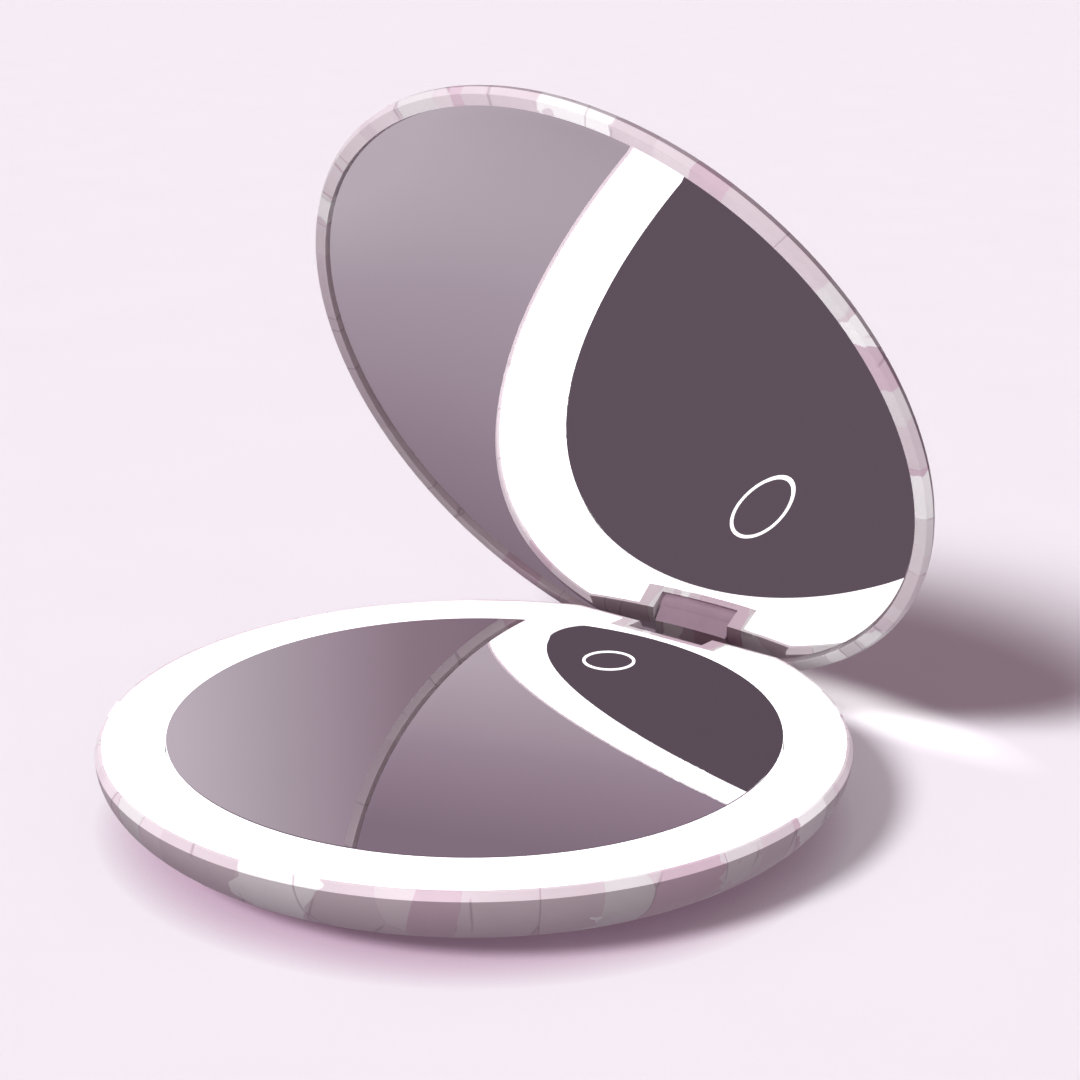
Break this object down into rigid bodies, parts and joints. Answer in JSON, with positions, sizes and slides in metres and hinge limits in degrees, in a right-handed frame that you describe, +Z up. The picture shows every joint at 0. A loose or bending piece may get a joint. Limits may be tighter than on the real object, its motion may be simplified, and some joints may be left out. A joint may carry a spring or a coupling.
{
  "type": "folding compact mirror",
  "caption": "Round folding compact mirror: a flat mirror in a lit opal ring in the base, and a magnifying mirror in the friction-hinged lid.",
  "frame": {"origin": "centre of the base's flat underside, on the surface it stands on", "axes": "+Z up out of the base mirror, +Y towards the hinge, +X along the hinge to the right as seen from the front"},
  "size_m": [0.089, 0.0904, 0.0838],
  "materials": {
    "patterned_shell": "glossy, printed with torn-edged petals in pale pink, mauve, grey and white",
    "opal_plastic": "satin opal white, lit from below",
    "white_plastic": "matt moulded",
    "white_board": "white solder mask",
    "mirror_glass": "polished, silvered behind",
    "adhesive": "matt foam tape",
    "white_ink": "printed line",
    "steel": "plain bright",
    "circuit_board": "green solder mask",
    "black_plastic": "moulded",
    "battery_foil": "crimped foil",
    "led_package": "phosphor face in a white package",
    "red_wire": "insulated lead",
    "black_wire": "insulated lead"
  },
  "bodies": {
    "base": {"base_shell": "patterned_shell", "mirror_tray": "white_plastic", "light_ring": "opal_plastic", "led_board": "white_board", "base_mirror": "mirror_glass", "mirror_tape": "adhesive", "battery_pad": "adhesive", "touch_circle": "white_ink", "touch_spring": "steel", "hinge_pin": "steel", "charge_port": "steel", "main_board": "circuit_board", "charge_board": "circuit_board", "touch_chip": "black_plastic", "driver_chip": "black_plastic", "power_coil": "black_plastic", "charge_chip": "black_plastic", "charge_port_tongue": "black_plastic", "battery": "battery_foil", "battery_lead_red": "red_wire", "battery_lead_black": "black_wire", "board_lead": "red_wire", "led_lead": "black_wire", "led_01": "led_package", "led_02": "led_package", "led_03": "led_package", "led_04": "led_package", "led_05": "led_package", "led_06": "led_package", "led_07": "led_package", "led_08": "led_package", "led_09": "led_package", "led_10": "led_package", "led_11": "led_package", "led_12": "led_package", "tray_screw_1": "steel", "tray_screw_2": "steel", "tray_screw_3": "steel", "tray_screw_4": "steel", "board_screw_1": "steel", "board_screw_2": "steel", "board_screw_3": "steel", "board_screw_4": "steel"},
    "lid": {"lid_shell": "patterned_shell", "lid_mirror": "mirror_glass", "lid_mirror_tape": "adhesive"}
  },
  "joints": [
    {"name": "lid_hinge", "type": "hinge", "parent": "base", "child": "lid", "pos_m": [0, 0.03895, 0.00808], "axis": [-1, 0, 0], "range_deg": [-62.4, 47.6]}
  ]
}
